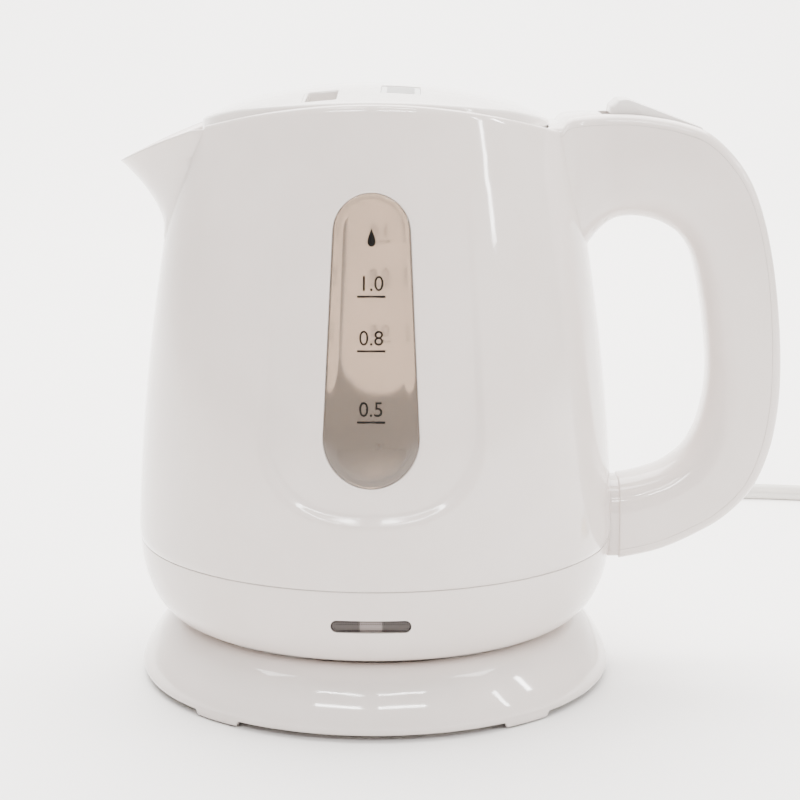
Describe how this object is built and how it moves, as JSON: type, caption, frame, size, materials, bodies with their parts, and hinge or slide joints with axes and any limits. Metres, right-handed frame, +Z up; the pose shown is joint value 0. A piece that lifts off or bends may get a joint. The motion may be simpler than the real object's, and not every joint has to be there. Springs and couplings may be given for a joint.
{
  "type": "electric kettle",
  "caption": "White plastic cordless electric kettle with V spout, C handle, level windows and lift-off lid, on a round power base with a mains lead.",
  "frame": {"origin": "centre of the power base's underside, on the kettle's vertical axis, at table height", "axes": "+X towards the handle, -X towards the spout, +Z up, +Y towards the cord exit"},
  "size_m": [0.3692, 0.3092, 0.1899],
  "materials": {
    "brass": "stamped brass",
    "bright_steel": "zinc plated",
    "circuit_board": "paper laminate",
    "clear_feet": "translucent silicone",
    "dark_lens": "dark translucent plastic",
    "grey_nylon": "glass filled nylon",
    "grey_rubber": "moulded silicone",
    "grey_vent": "satin moulded grey",
    "heater_aluminium": "cast and drawn aluminium",
    "lamp_glass": "small neon lamp",
    "plate_steel": "drawn stainless sheet",
    "smoky_window": "translucent smoke tinted plastic",
    "white_base": "glossy moulded polypropylene",
    "white_body": "glossy moulded polypropylene",
    "white_cord": "soft PVC",
    "white_handle": "glossy moulded polypropylene",
    "white_lever": "glossy moulded ABS",
    "white_lid": "glossy moulded polypropylene"
  },
  "bodies": {
    "base": {"base_cover": "white_base", "base_bottom_plate": "white_base", "base_screws": "bright_steel", "base_foot_ring": "grey_rubber", "base_socket": "grey_nylon", "socket_contacts": "brass", "strain_relief": "white_cord", "cord_inner_end": "white_cord", "cord_clamp": "grey_nylon", "clamp_screws": "bright_steel", "base_leads": "white_cord", "mains_cord": "white_cord", "mains_cord_coil": "white_cord", "mains_cord_tail": "white_cord", "mains_plug": "white_cord", "plug_pins": "brass"},
    "swivel": {"socket_slip_ring": "grey_nylon"},
    "kettle": {"body_shell": "white_body", "window_front": "smoky_window", "window_rear": "smoky_window", "bottom_housing": "white_body", "kettle_feet": "clear_feet", "indicator_lens": "dark_lens", "indicator_lamp": "lamp_glass", "lamp_board": "circuit_board", "housing_screws": "bright_steel", "heating_plate": "plate_steel", "plate_seal": "grey_rubber", "plate_clamp_ring": "grey_nylon", "clamp_ring_screws": "bright_steel", "heat_spreader": "heater_aluminium", "heating_element": "heater_aluminium", "thermostat": "grey_nylon", "dry_boil_discs": "brass", "kettle_connector": "grey_nylon", "connector_contacts": "brass", "connector_brackets": "bright_steel", "handle_shell": "white_handle", "handle_cover": "white_handle", "handle_screws": "bright_steel", "lever_pivot_pin": "bright_steel", "steam_tube": "grey_nylon", "steam_switch_housing": "grey_nylon", "bimetal_disc": "brass", "handle_wires": "white_cord"},
    "lever": {"power_lever": "white_lever"},
    "lid": {"lid_top": "white_lid", "lid_inner": "white_lid", "lid_seal": "grey_rubber", "lid_screws": "bright_steel", "vent_grille": "grey_vent", "latch_spring_front": "bright_steel", "latch_spring_rear": "bright_steel"},
    "latch_front": {"lid_latch_front": "white_lid"},
    "latch_rear": {"lid_latch_rear": "white_lid"}
  },
  "joints": [
    {"name": "kettle_swivel", "type": "hinge", "parent": "base", "child": "swivel", "pos_m": [0, 0, 0.017], "axis": [0, 0, 1], "continuous": true},
    {"name": "kettle_lift", "type": "slide", "parent": "swivel", "child": "kettle", "axis": [0, 0, 1], "range_m": [0, 0.06]},
    {"name": "lever_press", "type": "hinge", "parent": "kettle", "child": "lever", "pos_m": [0.097, 0, 0.1726], "axis": [0, -1, 0], "range_deg": [0, 12]},
    {"name": "lid_lift", "type": "slide", "parent": "kettle", "child": "lid", "axis": [0, 0, 1], "range_m": [0, 0.06]},
    {"name": "latch_front_squeeze", "type": "slide", "parent": "lid", "child": "latch_front", "axis": [0, 1, 0], "range_m": [0, 0.004], "stiffness_N_per_m": 400, "springref_m": -0.002, "deforming": ["latch_spring_front"]},
    {"name": "latch_rear_squeeze", "type": "slide", "parent": "lid", "child": "latch_rear", "axis": [0, -1, 0], "range_m": [0, 0.004], "stiffness_N_per_m": 400, "springref_m": -0.002, "deforming": ["latch_spring_rear"]}
  ]
}
